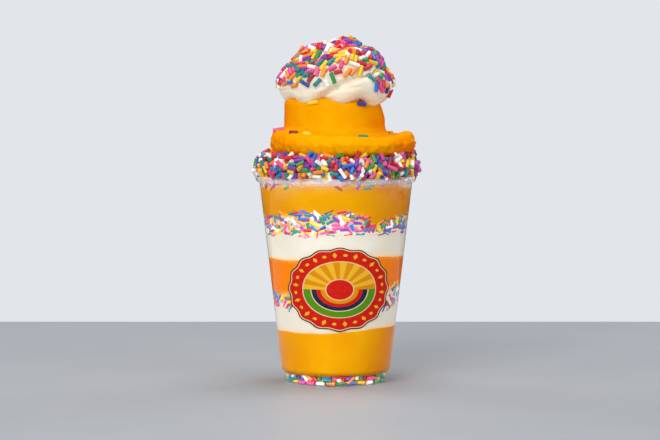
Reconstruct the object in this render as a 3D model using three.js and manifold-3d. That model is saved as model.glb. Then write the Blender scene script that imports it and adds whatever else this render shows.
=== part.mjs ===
// A clear plastic cup of layered italian ice and soft serve, with candy sprinkles
// between the layers and round the rim, a scoop of ice on top and a swirl over it.
//
// Sizes are in millimetres, +Z is up, and the origin is on the table under the
// middle of the cup. Angles run round +Z from the front, which is -Y, towards +X.

import * as THREE from "three";
import { mergeVertices } from "three/addons/utils/BufferGeometryUtils.js";
import Module from "manifold-3d";

const wasm = await Module();
wasm.setup();

// ---------------------------------------------------------------- driving sizes

const GAP = 0.3; // left between neighbours
const SEGMENTS = 36; // facets round the cup and the food
const UP = new THREE.Vector3(0, 0, 1);
const DEGREE = Math.PI / 180;

const CUP = {
  height: 126.6,
  rimRadius: 49, // the common 98 mm rim
  rimHeight: 3.6,
  wall: 0.6,
  wallTopRadius: 46.7, // outside, under the rim
  shoulderRadius: 33.4, // outside, where the wall meets the foot's step
  shoulderHeight: 9.4,
  footRadius: 31,
  footHeight: 5.6,
  pushUpRadius: 24.6, // the raised middle of the bottom
  pushUpHeight: 4.4,
};

const SPRINKLE = {
  radius: 1.05,
  shortest: 4.6,
  longest: 8.4,
  sides: 5,
};

// Where one layer meets the next at the wall: a height, and waves of
// [count round the cup, size, turn in degrees]. A sag hangs down over a few degrees.
const EDGES = {
  baseSprinklesTop: { height: 6.3, waves: [[7, 0.3, 0]] },
  mangoBottomTop: { height: 33.4, waves: [[1, 1.6, 0], [4, 0.8, -29]] },
  creamLowerTop: { height: 49.6, waves: [[1, 1.0, 30], [5, 0.8, 70]] },
  sprinklesLowerTop: { height: 58.7, waves: [[1, 1.8, -14], [3, 1.2, 137]] },
  mangoMiddleTop: { height: 77.1, waves: [[1, 0.6, 63], [3, 0.6, 23]] },
  creamUpperTop: { height: 96, waves: [[2, 0.9, 20], [5, 0.7, 140]] },
  sprinklesUpperTop: {
    height: 103,
    waves: [[1, 2.2, 75], [2, 0.8, 90]],
    sag: { at: 38, depth: 6.4, width: 17 },
  },
  mangoTopTop: { height: 121, waves: [[2, 2.2, 90], [5, 0.6, 200]] },
};

const MOUND = { top: 136, shoulder: 134.4, shoulderRadius: 37 };
const RIM_HEAP = { top: 138.9, topRadius: 44, spread: 4.6, bulge: 1.4 };

const CROWN = {
  bottom: 139.2,
  brimRadius: 43.9,
  brimTop: 153.2,
  brimShift: 3.6, // the brim sits to the right of the cup's axis
  towerRadius: 31.2,
  towerTop: 175.8,
  towerShift: -1,
};

const CAP = {
  radius: 35,
  widestHeight: 182.4,
  top: 208.6,
  hem: 171.6, // the lowest points of the scalloped hem
  scallops: 7,
  scallopHeight: 3,
  shift: 0,
  coil: 1, // depth of the groove that the swirl leaves
};

// ---------------------------------------------------------------- helpers

// A repeatable stream of numbers from 0 to 1 (mulberry32).
function stream(seed) {
  let state = seed;
  return () => {
    state = (state + 0x6d2b79f5) | 0;
    let t = Math.imul(state ^ (state >>> 15), 1 | state);
    t = (t + Math.imul(t ^ (t >>> 7), 61 | t)) ^ t;
    return ((t ^ (t >>> 14)) >>> 0) / 4294967296;
  };
}

const lerp = THREE.MathUtils.lerp;
const smooth = THREE.MathUtils.smoothstep;

// A point at an angle from the front, a distance from the axis and a height.
function around(angle, radius, height) {
  return new THREE.Vector3(radius * Math.sin(angle), -radius * Math.cos(angle), height);
}

function waves(list, angle) {
  return list.reduce((sum, [count, size, turn]) => sum + size * Math.sin(count * angle + turn * DEGREE), 0);
}

// How far an angle is from another, from 0 to PI.
function apart(a, b) {
  return Math.abs(Math.atan2(Math.sin(a - b), Math.cos(a - b)));
}

// The height of a layer's edge at an angle. Its waves die away towards the axis.
function edgeHeight(edge, angle, share = 1) {
  let lift = waves(edge.waves, angle);
  if (edge.sag) {
    const off = apart(angle, edge.sag.at * DEGREE) / (edge.sag.width * DEGREE);
    lift -= edge.sag.depth * Math.exp(-off * off);
  }
  return edge.height + lift * share ** 2;
}

// The cup's inner radius at a height.
function insideRadius(height) {
  const inner = CUP.wall;
  const stations = [
    [0, CUP.footRadius - inner],
    [CUP.footHeight + inner, CUP.footRadius - inner],
    [CUP.shoulderHeight - 1.2, CUP.shoulderRadius - inner - 0.5],
    [CUP.shoulderHeight + 0.2, CUP.shoulderRadius - inner],
    [CUP.height - CUP.rimHeight, CUP.wallTopRadius - inner],
    [CUP.height, CUP.wallTopRadius - inner + 0.4],
  ];
  const next = stations.findIndex(([z]) => z >= height);
  if (next <= 0) return stations[0][1];
  const [z0, r0] = stations[next - 1];
  const [z1, r1] = stations[next];
  return lerp(r0, r1, (height - z0) / (z1 - z0));
}

// A solid turned about Z from rings. place(ring, angle) gives each vertex, and the
// first and last rings lie on the axis.
function turned(rings, place, segments = SEGMENTS) {
  const profile = rings.map((_, i) => new THREE.Vector2(i === 0 || i === rings.length - 1 ? 0 : 1, i));
  const lathe = new THREE.LatheGeometry(profile, segments);
  const position = lathe.getAttribute("position");
  for (let i = 0; i < position.count; i++) {
    const column = Math.floor(i / rings.length) % segments;
    const ring = i % rings.length;
    const onAxis = ring === 0 || ring === rings.length - 1;
    const at = place(rings[ring], onAxis ? 0 : (2 * Math.PI * column) / segments);
    position.setXYZ(i, at.x, at.y, at.z);
  }
  return solidOf(lathe);
}

// A closed geometry as a solid that can be joined and cut, moved into place.
function solidOf(geometry, placing = new THREE.Matrix4()) {
  const bare = geometry.clone();
  bare.deleteAttribute("normal");
  bare.deleteAttribute("uv");
  const merged = mergeVertices(bare, 1e-4).applyMatrix4(placing);
  const make = (triVerts) =>
    new wasm.Manifold(
      new wasm.Mesh({ numProp: 3, vertProperties: new Float32Array(merged.attributes.position.array), triVerts }),
    );
  const triVerts = new Uint32Array(merged.index.array);
  const made = make(triVerts);
  return made.volume() > 0 ? made : make(triVerts.reverse());
}

// The biggest body of a join: loose scraps are dropped and sealed hollows filled.
function oneBody(solid) {
  return solid.decompose().sort((a, b) => b.volume() - a.volume())[0];
}

function meshOf(name, solid, material) {
  const { numProp, numVert, vertProperties, triVerts } = solid.getMesh();
  const points = new Float32Array(numVert * 3);
  for (let i = 0; i < numVert; i++) points.set(vertProperties.subarray(i * numProp, i * numProp + 3), i * 3);
  const geometry = new THREE.BufferGeometry();
  geometry.setAttribute("position", new THREE.BufferAttribute(points, 3));
  geometry.setIndex(new THREE.BufferAttribute(new Uint32Array(triVerts), 1));
  geometry.computeVertexNormals();
  const mesh = new THREE.Mesh(geometry, material);
  mesh.name = name;
  return mesh;
}

// ---------------------------------------------------------------- sprinkles

// One candy rod, lying along a direction with its middle at a point.
function rod(at, along, length, radius = SPRINKLE.radius) {
  const geometry = new THREE.CylinderGeometry(radius, radius, length, SPRINKLE.sides);
  const turn = new THREE.Quaternion().setFromUnitVectors(new THREE.Vector3(0, 1, 0), along.clone().normalize());
  return solidOf(geometry, new THREE.Matrix4().compose(at, turn, new THREE.Vector3(1, 1, 1)));
}

function rodLength(random) {
  return lerp(SPRINKLE.shortest, SPRINKLE.longest, random());
}

// Rods strewn evenly over a surface, lying in it at any heading and a little sunk.
// surface(angle, share) gives a point; allowed(angle, share, point) says where rods fall.
function strewn(surface, { count, spacing, seed, widest, sink, allowed }) {
  const random = stream(seed);
  const middles = [];
  const rods = [];
  const step = 0.01;
  for (let tries = 0; rods.length < count && tries < 400 * count; tries++) {
    const angle = 2 * Math.PI * random();
    const share = random();
    const heading = 2 * Math.PI * random();
    const length = rodLength(random);
    const point = surface(angle, share);
    // Even over the surface's area, which shrinks towards the axis.
    if (Math.hypot(point.x, point.y) < widest * random()) continue;
    if (!allowed(angle, share, point)) continue;
    if (middles.some((m) => m.distanceTo(point) < spacing)) continue;
    const across = surface(angle + step, share).sub(surface(angle - step, share)).normalize();
    const upward = surface(angle, Math.min(1, share + step)).sub(surface(angle, Math.max(0, share - step))).normalize();
    const normal = new THREE.Vector3().crossVectors(across, upward).normalize();
    const along = across.multiplyScalar(Math.cos(heading)).addScaledVector(upward, Math.sin(heading));
    along.addScaledVector(normal, 0.25 * (random() - 0.5));
    middles.push(point);
    rods.push(rod(point.clone().addScaledVector(normal, -sink), along, length));
  }
  return rods;
}

// Rods lying along the cup's wall, between two heights that may follow waves.
function againstWall({ count, seed, low, high, steepest, radius = SPRINKLE.radius }) {
  const random = stream(seed);
  const rods = [];
  for (let i = 0; i < count; i++) {
    const angle = (2 * Math.PI * (i + 0.4 * random())) / count;
    const half = rodLength(random) / 2;
    const reach = [-1, 0, 1].map((side) => angle + (side * half) / CUP.shoulderRadius);
    const bottom = Math.max(...reach.map(low)) + radius;
    const top = Math.min(...reach.map(high)) - radius;
    const slope = Math.min(Math.sin(steepest), Math.max(0, (top - bottom) / (2 * half)));
    const tilt = Math.asin(slope) * lerp(0.6, 1, random()) * (i % 2 ? 1 : -1);
    const rise = half * Math.abs(Math.sin(tilt));
    const height = Math.max(bottom, lerp(bottom + rise, top - rise, random()));
    // The ends of a straight rod would pass through the round wall, so it sits in from it.
    const sagitta = (half * Math.cos(tilt)) ** 2 / (2 * CUP.shoulderRadius);
    const distance = insideRadius(height - rise - radius) - GAP - radius - sagitta;
    const along = around(angle + Math.PI / 2, Math.cos(tilt), Math.sin(tilt));
    rods.push(rod(around(angle, distance, height), along, 2 * half, radius));
  }
  return rods;
}

// ---------------------------------------------------------------- the cup

// A thin-walled tapered cup: a foot ring round a raised middle, a step for
// stacking, a straight wall and a rolled rim.
function cup() {
  const { height, rimRadius, rimHeight, wall } = CUP;
  const rimBottom = height - rimHeight;
  const innerFoot = CUP.footRadius - wall;
  const profile = [
    [0, CUP.pushUpHeight],
    [CUP.pushUpRadius, CUP.pushUpHeight],
    [CUP.pushUpRadius + 2.2, 0],
    [CUP.footRadius - 0.6, 0],
    [CUP.footRadius, 0.7],
    [CUP.footRadius, CUP.footHeight],
    [CUP.shoulderRadius - 0.5, CUP.shoulderHeight - 1.8],
    [CUP.shoulderRadius, CUP.shoulderHeight],
    [CUP.wallTopRadius, rimBottom],
    [rimRadius - 0.5, rimBottom + 0.2],
    [rimRadius, rimBottom + 1.3],
    [rimRadius, height - 1],
    [rimRadius - 0.8, height],
    [CUP.wallTopRadius + 0.2, height],
    [insideRadius(height), height - 1.1],
    [insideRadius(rimBottom), rimBottom],
    [CUP.shoulderRadius - wall, CUP.shoulderHeight + 0.2],
    [CUP.shoulderRadius - wall - 0.5, CUP.shoulderHeight - 1.2],
    [innerFoot, CUP.footHeight + wall],
    [innerFoot, wall],
    [CUP.pushUpRadius + 2.7, wall],
    [CUP.pushUpRadius + 0.5, CUP.pushUpHeight + wall],
    [0, CUP.pushUpHeight + wall],
  ];
  return turned(profile, ([radius, z], angle) => around(angle, radius, z));
}

// The space that the rim needs, for cutting what hangs over it.
function rimRoom() {
  const bottom = CUP.height - CUP.rimHeight - 8;
  const profile = [
    [0, bottom],
    [CUP.rimRadius + GAP, bottom],
    [CUP.rimRadius + GAP, CUP.height - 0.9],
    [CUP.rimRadius - 0.7 + GAP, CUP.height + GAP],
    [insideRadius(CUP.height) - 0.2 - GAP, CUP.height + GAP],
    [insideRadius(CUP.height - 2) - 0.1 - GAP, CUP.height - 2],
    [insideRadius(bottom) - GAP, bottom - 0.05],
    [0, bottom - 0.05],
  ];
  return turned(profile, ([radius, z], angle) => around(angle, radius, z));
}

// ---------------------------------------------------------------- the layers

// A filling between two edges, out to the wall or, for a core, short of it.
function layer(below, above, { short = 0, floor = () => -Infinity } = {}) {
  const rings = [
    [0, 0],
    [0.72, 0],
    [1, 0],
    [1, 1],
    [0.72, 1],
    [0, 1],
  ];
  return turned(rings, ([share, level], angle) => {
    const edge = level ? above : below;
    const half = level ? -GAP / 2 : GAP / 2;
    const height = Math.max(edgeHeight(edge, angle, share) + half, floor(share));
    return around(angle, share * (insideRadius(height) - GAP - short), height);
  });
}

// The first ice layer also fills the step above the foot.
function mangoBottom() {
  const { footHeight, wall, shoulderHeight } = CUP;
  const rings = [
    [0, 8],
    [0.8, 7.6],
    [1, null],
    [1, footHeight + wall + GAP],
    [1, shoulderHeight - 1],
    [1, shoulderHeight + 0.4],
    [1, Infinity],
    [0.72, Infinity],
    [0, Infinity],
  ];
  return turned(rings, ([share, level], angle) => {
    let height = level;
    if (level === null) height = edgeHeight(EDGES.baseSprinklesTop, angle) + GAP / 2;
    if (level === Infinity) height = edgeHeight(EDGES.mangoBottomTop, angle, share) - GAP / 2;
    return around(angle, share * (insideRadius(height) - GAP), height);
  });
}

// The top ice layer rises into a mound above the rim.
function mangoTop() {
  const rings = [
    [0, "below"],
    [0.72, "below"],
    [1, "below"],
    [1, "above"],
    [MOUND.shoulderRadius + 4, MOUND.shoulder - 5.4],
    [MOUND.shoulderRadius, MOUND.shoulder],
    [0, MOUND.top],
  ];
  return turned(rings, ([first, second], angle) => {
    if (typeof second === "number") return around(angle, first, second);
    const edge = second === "below" ? EDGES.sprinklesUpperTop : EDGES.mangoTopTop;
    const height = edgeHeight(edge, angle, first) + (second === "below" ? GAP / 2 : -GAP / 2);
    return around(angle, first * (insideRadius(height) - GAP), height);
  });
}

// A layer of sprinkles seen through the wall: a core set back from it, and rods
// that fill the space between.
function sprinkleLayer(below, above, { count, seed, steepest }) {
  const core = layer(below, above, { short: 1.4 });
  const rods = againstWall({
    count,
    seed,
    steepest,
    low: (angle) => edgeHeight(below, angle) + GAP / 2,
    high: (angle) => edgeHeight(above, angle) - GAP / 2,
  });
  return oneBody(wasm.Manifold.union([core, ...rods]));
}

// Sprinkles on the bottom of the cup: a thin layer over the raised middle, and rods
// end to end in the channel round it.
function baseSprinkles() {
  const { wall, pushUpRadius, pushUpHeight } = CUP;
  const floor = wall + GAP;
  const topOf = (angle) => edgeHeight(EDGES.baseSprinklesTop, angle) - GAP / 2;
  const outer = CUP.footRadius - wall - GAP - 1;
  const rings = [
    [0, pushUpHeight + floor],
    [pushUpRadius + 0.8, pushUpHeight + floor],
    [pushUpRadius + 2.9 + GAP / 2, floor],
    [outer, floor],
    [outer, null],
    [pushUpRadius - 0.4, 7.4],
    [0, 7.7],
  ];
  const core = turned(rings, ([radius, height], angle) => around(angle, radius, height ?? topOf(angle)));
  const rows = [
    { count: 18, seed: 11, steepest: 0, low: () => floor, high: () => floor + 2.2 },
    { count: 11, seed: 12, steepest: 0.5, low: () => floor + 2, high: topOf },
  ];
  return oneBody(wasm.Manifold.union([core, ...rows.flatMap(againstWall)]));
}

// ---------------------------------------------------------------- the heap on the rim

// The outer face of the heap, from over the rim up to the brim of the scoop.
function heapFace(angle, share) {
  const { top, topRadius, spread, bulge } = RIM_HEAP;
  const height = lerp(CUP.height + 1.2, top + 0.4, share) + share * waves([[1, 0.9, 180], [5, 0.4, 30]], angle);
  const out = spread * (1 - share ** 2.5) + bulge * Math.sin(Math.PI * (0.1 + 0.8 * share));
  const radius = topRadius + out + waves([[4, 0.4, 0], [9, 0.3, 50]], angle);
  return around(angle, radius, height);
}

function rimSprinkles(keepOut) {
  const rings = [
    [0, MOUND.top + GAP],
    [MOUND.shoulderRadius + 0.3, MOUND.shoulder + GAP],
    [MOUND.shoulderRadius + 4 + GAP, MOUND.shoulder - 5.4 + GAP],
    ["inside", 0],
    ["inside", 1],
    ["face", 0],
    ["face", 0.3],
    ["face", 0.75],
    ["face", 1],
    [0, RIM_HEAP.top],
  ];
  const core = turned(rings, ([first, second], angle) => {
    if (first === "face") return heapFace(angle, second);
    if (first !== "inside") return around(angle, first, second);
    const height = second ? CUP.height + GAP : edgeHeight(EDGES.mangoTopTop, angle) + GAP / 2;
    return around(angle, insideRadius(height) - GAP - 0.3, height);
  });
  const rods = strewn(heapFace, {
    count: 50,
    spacing: 6.8,
    seed: 21,
    widest: 40,
    sink: 0.15,
    allowed: () => true,
  });
  const joined = wasm.Manifold.union([core, ...rods]);
  return oneBody(keepOut.reduce((left, cutter) => left.subtract(cutter), joined));
}

// ---------------------------------------------------------------- the scoop on top

// A flat brim with a rolled, uneven edge and a round tower on it.
function crown(grow = 0) {
  const { bottom, brimRadius, brimTop, towerRadius, towerTop } = CROWN;
  const rings = [
    [0, bottom],
    [brimRadius - 7, bottom],
    [brimRadius - 1.6, bottom + 1.8],
    [brimRadius, bottom + 6.4],
    [brimRadius - 0.5, brimTop - 3.2],
    [brimRadius - 3.2, brimTop],
    [brimRadius - 9.4, brimTop - 1.1],
    [towerRadius + 0.6, brimTop - 0.5],
    [towerRadius, brimTop + 3.4],
    [towerRadius - 0.9, brimTop + 11],
    [towerRadius - 2, brimTop + 17.4],
    [towerRadius - 4.6, towerTop - 1],
    [0, towerTop],
  ];
  return turned(rings, ([radius, z], angle) => {
    const onTower = smooth(z, brimTop - 0.6, brimTop + 3);
    const inBrim = smooth(radius, brimRadius - 8, brimRadius) * (1 - onTower);
    // The brim's edge is uneven, and its two ends curl up.
    const edge = inBrim * waves([[2, 0.7, 60], [5, 0.5, 20], [9, 0.4, 80]], angle);
    const curl = Math.exp(-(((apart(angle, 0) - 83 * DEGREE) / 0.5) ** 2));
    const lift = inBrim * (z > bottom + 7 ? 1.2 * curl + waves([[4, 0.35, 0]], angle) : 0);
    // The tower's right shoulder is rounder than its left.
    const rounding = onTower * smooth(z, brimTop + 4, towerTop) * Math.max(0, Math.sin(angle));
    const shift = lerp(CROWN.brimShift, CROWN.towerShift, onTower) * Math.min(1, radius / 20);
    const out = radius + edge - 3.4 * rounding * Math.min(1, radius / 20);
    const wide = radius ? out + grow : 0;
    const up = z === bottom ? -grow : z > bottom + 7 ? grow : 0;
    return around(angle, wide, z + lift + up).add(new THREE.Vector3(shift, 0, 0));
  });
}

// ---------------------------------------------------------------- the swirl on the scoop

// The dome's face from its widest ring to its peak, with one spiral groove in it.
function domeFace(angle, share) {
  const rise = Math.sin((share * Math.PI) / 2);
  const spread = Math.cos((share * Math.PI) / 2) ** 0.8;
  const groove = Math.cos(angle - 2 * Math.PI * 1.6 * share - 0.5) * CAP.coil * Math.sin(Math.PI * share);
  const lump = waves([[2, 0.5, 20], [3, 0.4, 100]], angle) * (1 - share);
  const radius = Math.max(0, CAP.radius * spread + (groove + lump) * Math.min(1, 3 * spread));
  const height = lerp(CAP.widestHeight, CAP.top, rise);
  const lean = lerp(CAP.shift, CAP.shift + 3.6, share ** 3);
  return around(angle, radius, height).add(new THREE.Vector3(lean, 0, 0));
}

// The hem hangs in scallops, and lowest on the right.
function hemHeight(angle) {
  const scallop = Math.abs(Math.sin((CAP.scallops / 2) * (angle + 39 * DEGREE)));
  const drip = Math.exp(-((apart(angle, 76 * DEGREE) / 0.4) ** 2));
  return CAP.hem + CAP.scallopHeight * scallop - 2.8 * drip;
}

function cap(tower) {
  const underside = CROWN.towerTop + GAP;
  const insideHem = CROWN.towerRadius - 0.4;
  const rings = [
    [0, "under"],
    [insideHem - 5, "under"],
    [insideHem, "hem inside"],
    [insideHem + 2.2, "hem"],
    [CAP.radius - 1.6, "hem outside"],
    ...[0, 0.2, 0.4, 0.6, 0.8, 1].map((share) => [share, "dome"]),
  ];
  const body = turned(rings, ([size, kind], angle) => {
    if (kind === "dome") return size === 1 ? domeFace(0, 1) : domeFace(angle, size);
    const hem = hemHeight(angle);
    const height = { under: underside, "hem inside": hem + 0.8, hem, "hem outside": hem + 2.4 }[kind];
    const shift = CAP.shift * Math.min(1, size / 20);
    return around(angle, size, height).add(new THREE.Vector3(shift, 0, 0));
  });
  const rods = strewn(domeFace, {
    count: 38,
    spacing: 6.6,
    seed: 31,
    widest: 34,
    sink: 0.2,
    // The swirl's lower roll stays bare, except on the right where some slid down.
    allowed: (angle, share) => share > 0.12 + 0.1 * Math.cos(angle - 0.3) - 0.1 * Math.sin(angle),
  });
  return oneBody(wasm.Manifold.union([body, ...rods]).subtract(tower));
}

// ---------------------------------------------------------------- colours and assembly

function finish(color, roughness, extra = {}) {
  return new THREE.MeshStandardMaterial({ color, roughness, metalness: 0, ...extra });
}

const clearPlastic = finish(0xf2f6f8, 0.08, { transparent: true, opacity: 0.3 });
const mangoIce = finish(0xf0a000, 0.45);
const deepMangoIce = finish(0xe88400, 0.45);
const softServe = finish(0xf3e9dc, 0.5);
const candy = finish(0xd8447c, 0.35);

const scoopRoom = crown(GAP);
const pieces = [
  meshOf("cup", cup(), clearPlastic),
  meshOf("sprinkles_base", baseSprinkles(), candy),
  meshOf("mango_ice_bottom", mangoBottom(), mangoIce),
  meshOf("soft_serve_lower", layer(EDGES.mangoBottomTop, EDGES.creamLowerTop), softServe),
  meshOf(
    "sprinkles_lower",
    sprinkleLayer(EDGES.creamLowerTop, EDGES.sprinklesLowerTop, { count: 19, seed: 13, steepest: 1.2 }),
    candy,
  ),
  meshOf("mango_ice_middle", layer(EDGES.sprinklesLowerTop, EDGES.mangoMiddleTop), deepMangoIce),
  meshOf("soft_serve_upper", layer(EDGES.mangoMiddleTop, EDGES.creamUpperTop), softServe),
  meshOf(
    "sprinkles_upper",
    sprinkleLayer(EDGES.creamUpperTop, EDGES.sprinklesUpperTop, { count: 23, seed: 14, steepest: 1.2 }),
    candy,
  ),
  meshOf("mango_ice_top", mangoTop(), mangoIce),
  meshOf("sprinkles_rim", rimSprinkles([rimRoom(), scoopRoom]), candy),
  meshOf("mango_ice_crown", crown(), mangoIce),
  meshOf("soft_serve_cap", cap(scoopRoom), softServe),
];

const italianIce = new THREE.Group();
italianIce.name = "cup_of_italian_ice";
italianIce.add(...pieces);

export default italianIce;
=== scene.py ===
from math import atan2, cos, degrees, hypot, pi, radians, sin

import bpy
import numpy as np
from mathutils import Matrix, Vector, noise
from mathutils.bvhtree import BVHTree


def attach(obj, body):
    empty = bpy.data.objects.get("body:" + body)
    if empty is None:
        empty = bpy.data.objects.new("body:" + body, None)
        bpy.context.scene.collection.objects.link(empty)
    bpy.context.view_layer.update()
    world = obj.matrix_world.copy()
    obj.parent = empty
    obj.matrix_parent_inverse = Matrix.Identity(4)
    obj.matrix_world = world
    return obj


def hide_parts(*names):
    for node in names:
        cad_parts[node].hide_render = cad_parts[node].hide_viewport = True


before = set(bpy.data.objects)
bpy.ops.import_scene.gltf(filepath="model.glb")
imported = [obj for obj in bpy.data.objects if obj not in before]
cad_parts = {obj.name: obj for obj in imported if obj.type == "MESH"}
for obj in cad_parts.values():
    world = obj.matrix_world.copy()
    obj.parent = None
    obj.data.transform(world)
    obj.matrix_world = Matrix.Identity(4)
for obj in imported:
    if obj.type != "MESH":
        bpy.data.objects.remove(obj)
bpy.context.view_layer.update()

# ---- the cup
# A clear plastic cup, drawn from one warm sheet half a millimetre thick: a foot ring round
# a raised middle, a step that lets cups stack, a straight tapered wall, and an edge that is
# rolled outwards into a hollow rim. It stands on its foot ring.

MM = 0.001
STEPS = 144  # faces round the cup
SHEET = 0.5  # the plastic's thickness

CUP_PROFILE = [  # [radius, height] of the sheet's outer side, from the middle of the bottom
    [0, 4.4], [24, 4.4], [25.1, 4], [26.6, 0.6], [27.2, 0.1], [27.8, 0], [29.8, 0],
    [30.6, 0.3], [31, 1.1], [31, 5], [31.3, 6], [32.6, 7.4], [33.2, 8.4], [33.4, 9.4],
    [36, 32.1], [40, 66.2], [44, 100.3], [46.7, 122.6], [46.8, 124.2], [47.05, 125.3],
    [47.5, 125.95], [48, 126.1], [48.35, 125.75], [48.5, 125], [48.5, 124.1], [48.3, 123.5],
    [47.9, 123.2],
]


def fresh(add, **settings):
    """A new primitive, added with nothing else selected."""
    bpy.ops.object.select_all(action="DESELECT")
    add(**settings)
    return bpy.context.object


def edit():
    """Into edit mode, with everything selected."""
    bpy.ops.object.mode_set(mode="EDIT")
    bpy.ops.mesh.select_all(action="SELECT")


def leave():
    bpy.ops.object.mode_set(mode="OBJECT")


def spun(profile, steps=STEPS):
    """A plane pulled together into one vertex, extruded along a profile and spun round Z."""
    piece = fresh(bpy.ops.mesh.primitive_plane_add, size=MM)
    edit()
    bpy.ops.mesh.merge(type="CENTER")
    places = [Vector((radius, 0, height)) * MM for radius, height in profile]
    bpy.ops.transform.translate(value=places[0])
    for here, there in zip(places, places[1:]):
        bpy.ops.mesh.extrude_vertices_move(TRANSFORM_OT_translate={"value": there - here})
    bpy.ops.mesh.select_all(action="SELECT")
    bpy.ops.mesh.spin(steps=steps, angle=2 * pi, center=(0, 0, 0), axis=(0, 0, 1))
    bpy.ops.mesh.select_all(action="SELECT")
    bpy.ops.mesh.remove_doubles(threshold=0.002 * MM)
    bpy.ops.mesh.normals_make_consistent(inside=False)
    leave()
    return piece


def choose(piece):
    """Selects one piece alone and makes it active."""
    bpy.ops.object.select_all(action="DESELECT")
    piece.select_set(True)
    bpy.context.view_layer.objects.active = piece


def joined(piece, other):
    """Two pieces made one."""
    choose(piece)
    other.select_set(True)
    bpy.ops.object.join()


def placed(name, data):
    """A new object in the scene."""
    made = bpy.data.objects.new(name, data)
    bpy.context.collection.objects.link(made)
    return made


def finish_with(piece, kind, **settings):
    """Adds one modifier and applies it."""
    modifier = piece.modifiers.new(kind.title(), kind)
    for key, value in settings.items():
        setattr(modifier, key, value)
    choose(piece)
    bpy.ops.object.modifier_apply(modifier=modifier.name)


def smooth(piece, sharpest):
    """Shades a piece smooth, but for edges sharper than an angle."""
    choose(piece)
    bpy.ops.object.shade_smooth_by_angle(angle=radians(sharpest))


def colour(red, green, blue):
    """A screen colour, 0 to 255, as the shader's colour."""
    linear = [((c / 255 + 0.055) / 1.055) ** 2.4 if c > 10 else c / 3295 for c in (red, green, blue)]
    return (*linear, 1)


class Field:
    """A number or colour that varies over a surface: one output of a shader's node."""

    def __init__(self, finish, socket):
        self.finish, self.socket = finish, socket

    def maths(self, operation, *terms):
        return self.finish.node("ShaderNodeMath", {"operation": operation}, dict(enumerate(terms)))

    def __add__(self, other):
        return self.maths("ADD", self, other)

    def __mul__(self, other):
        return self.maths("MULTIPLY", self, other)

    def __sub__(self, other):
        return self.maths("SUBTRACT", self, other)

    def __rsub__(self, other):
        return self.maths("SUBTRACT", other, self)

    __radd__, __rmul__ = __add__, __mul__

    def clip(self):
        return self.maths("MINIMUM", self.maths("MAXIMUM", self, 0), 1)


class Finish:
    """A material, built round one principled shader."""

    def __init__(self, name, **constants):
        self.material = bpy.data.materials.new(name)
        self.material.use_nodes = True
        self.tree = self.material.node_tree
        self.shader = self.tree.nodes["Principled BSDF"]
        self.set(constants)

    def set(self, sockets):
        """Sets the shader's sockets, named in small letters with underscores."""
        for name, value in sockets.items():
            words = [w.upper() if w == "ior" else w.title() for w in name.split("_")]
            self.join(value, self.shader.inputs[" ".join(words)])

    def join(self, value, socket):
        if isinstance(value, Field):
            self.tree.links.new(value.socket, socket)
        else:
            socket.default_value = value

    def node(self, kind, settings=(), sockets=(), out=0):
        """Any node: its settings first, then the values or links of its sockets."""
        made = self.tree.nodes.new(kind)
        for key, value in dict(settings).items():
            setattr(made, key, value)
        for key, value in dict(sockets).items():
            self.join(value, made.inputs[key])
        return Field(self, made.outputs[out])

    def place(self):
        return self.node("ShaderNodeTexCoord", out="Object")

    def along(self, axis):
        """The place along one axis, in metres."""
        return self.node("ShaderNodeSeparateXYZ", sockets={0: self.place()}, out=axis)

    def grain(self, size, detail=2.0, rough=0.5):
        """Noise from 0 to 1 with lumps of a size in millimetres."""
        sockets = {"Vector": self.place(), "Scale": 1 / (size * MM), "Detail": detail, "Roughness": rough}
        return self.node("ShaderNodeTexNoise", sockets=sockets)

    def between(self, field, low, high):
        """A field stretched so that low becomes 0 and high becomes 1."""
        sockets = {"Value": field, "From Min": low, "From Max": high}
        return self.node("ShaderNodeMapRange", sockets=sockets)

    def patches(self, size, low, high, **kind):
        """Grain stretched between two of its levels, so that it comes in patches."""
        return self.between(self.grain(size, **kind), low, high)

    def blend(self, share, first, second, mode="MIX"):
        """Two colours mixed by a share."""
        settings = {"data_type": "RGBA", "blend_type": mode}
        return self.node("ShaderNodeMix", settings, {0: share, 6: first, 7: second}, out=2)

    def relief(self, height, depth, strength=1.0):
        """A bump from a field, of a depth in millimetres."""
        sockets = {"Height": height, "Distance": depth * MM, "Strength": strength}
        self.set({"normal": self.node("ShaderNodeBump", sockets=sockets)})


FROST = (116 * MM, 124 * MM)  # where frost on the plastic starts and where it is whole
DIMMED = (0.22, 0.22, 0.22, 1)  # how much of the plastic's shine is left


def clear_plastic():
    """Clear PET. Lamps shine through it, and a little frost clings to it near the rim. Its
    shine is dimmed, so that the pale table in front doesn't veil what is inside."""
    made = Finish("clear_plastic", ior=1.28, transmission_weight=1.0, specular_tint=DIMMED)
    cloud = made.grain(9, detail=3)
    near_rim = made.between(made.along("Z"), *FROST)
    breath = near_rim * made.patches(14, 0.35, 0.6)
    made.set({
        "base_color": made.blend(cloud, (0.97, 0.985, 0.99, 1), (1, 1, 1, 1)),
        "roughness": made.between(cloud, 0.35, 0.9) * 0.08 + 0.02 + 0.28 * breath,
    })
    plastic = Field(made, made.shader.outputs[0])
    white = {"Base Color": colour(226, 220, 226), "Roughness": 0.8}
    rime = made.node("ShaderNodeBsdfPrincipled", sockets=white)
    thick = near_rim * near_rim * (0.08 + 0.24 * made.patches(11, 0.36, 0.62, detail=4))
    frosted = made.node("ShaderNodeMixShader", sockets={0: thick, 1: plastic, 2: rime})
    see_through = made.node("ShaderNodeBsdfTransparent")
    shadow = made.node("ShaderNodeLightPath", out="Is Shadow Ray")
    mixed = made.node("ShaderNodeMixShader", sockets={0: shadow, 1: frosted, 2: see_through})
    made.join(mixed, made.tree.nodes["Material Output"].inputs["Surface"])
    return made.material


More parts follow.
